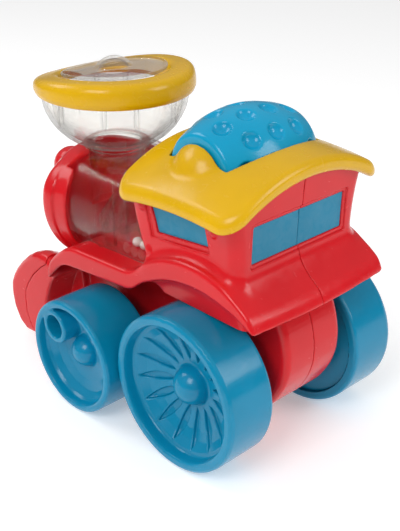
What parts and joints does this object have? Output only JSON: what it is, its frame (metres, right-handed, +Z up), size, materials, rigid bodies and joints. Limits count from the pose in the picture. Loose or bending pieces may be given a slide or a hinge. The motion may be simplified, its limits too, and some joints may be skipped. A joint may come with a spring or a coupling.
{
  "type": "toy train locomotive",
  "caption": "Toddler's rolling toy locomotive with a clear bead-filled boiler and funnel, a dimpled spinning roller in the cab roof and a geared flywheel drive on the rear axle.",
  "frame": {"origin": "on the ground plane, at the middle of the overall length and width", "axes": "+X towards the front of the train, +Y towards its left side, +Z up"},
  "size_m": [0.2002, 0.128, 0.1718],
  "materials": {
    "red_plastic": "glossy moulded ABS",
    "yellow_plastic": "glossy moulded ABS",
    "blue_plastic": "glossy moulded ABS",
    "window_blue": "flat satin",
    "clear_plastic": "clear styrene",
    "pink_bead": "glossy",
    "orange_bead": "glossy",
    "white_bead": "glossy",
    "gear_nylon": "natural nylon",
    "gearbox_plastic": "black moulded",
    "brass": "machined",
    "steel": "bright drawn wire"
  },
  "bodies": {
    "train": {"body_left": "red_plastic", "body_right": "red_plastic", "bumper": "red_plastic", "boiler_front": "red_plastic", "headlamp": "red_plastic", "boiler_shell": "clear_plastic", "boiler_divider": "clear_plastic", "bead_spreader": "clear_plastic", "beads_pink": "pink_bead", "beads_orange": "orange_bead", "beads_white": "white_bead", "funnel_neck": "clear_plastic", "funnel_bowl": "clear_plastic", "funnel_cap": "yellow_plastic", "funnel_lens": "clear_plastic", "roof": "yellow_plastic", "roof_screws": "steel", "window_side_left": "window_blue", "window_side_right": "window_blue", "window_rear_left": "window_blue", "window_rear_right": "window_blue", "gearbox_plate_left": "gearbox_plastic", "gearbox_plate_right": "gearbox_plastic", "body_screws": "steel"},
    "rear_wheelset": {"rear_axle": "steel", "rear_wheel_left": "blue_plastic", "rear_wheel_right": "blue_plastic", "rear_back_left": "blue_plastic", "rear_back_right": "blue_plastic", "axle_gear": "gear_nylon"},
    "front_wheelset": {"front_axle": "steel", "front_wheel_left": "blue_plastic", "front_wheel_right": "blue_plastic", "front_back_left": "blue_plastic", "front_back_right": "blue_plastic"},
    "roller_set": {"roller": "blue_plastic", "roller_shaft": "steel"},
    "idler_set": {"idler_gear": "gear_nylon", "idler_shaft": "steel"},
    "flywheel_set": {"flywheel": "steel", "flywheel_pinion": "brass", "flywheel_shaft": "steel"}
  },
  "joints": [
    {"name": "rear_wheels_spin", "type": "hinge", "parent": "train", "child": "rear_wheelset", "pos_m": [-0.0585, 0, 0.04], "axis": [0, 1, 0], "continuous": true},
    {"name": "front_wheels_spin", "type": "hinge", "parent": "train", "child": "front_wheelset", "pos_m": [0.0137, 0, 0.031], "axis": [0, 1, 0], "continuous": true},
    {"name": "roller_spin", "type": "hinge", "parent": "train", "child": "roller_set", "pos_m": [-0.0482, 0, 0.14], "axis": [0, 1, 0], "continuous": true},
    {"name": "idler_spin", "type": "hinge", "parent": "train", "child": "idler_set", "pos_m": [-0.0585, 0, 0.06], "axis": [0, 1, 0], "continuous": true},
    {"name": "flywheel_spin", "type": "hinge", "parent": "train", "child": "flywheel_set", "pos_m": [-0.0785, 0, 0.06], "axis": [0, 1, 0], "continuous": true}
  ],
  "couplings": [
    {"joint": "idler_spin", "follows": "rear_wheels_spin", "ratio": -2.3333},
    {"joint": "flywheel_spin", "follows": "rear_wheels_spin", "ratio": 7}
  ]
}
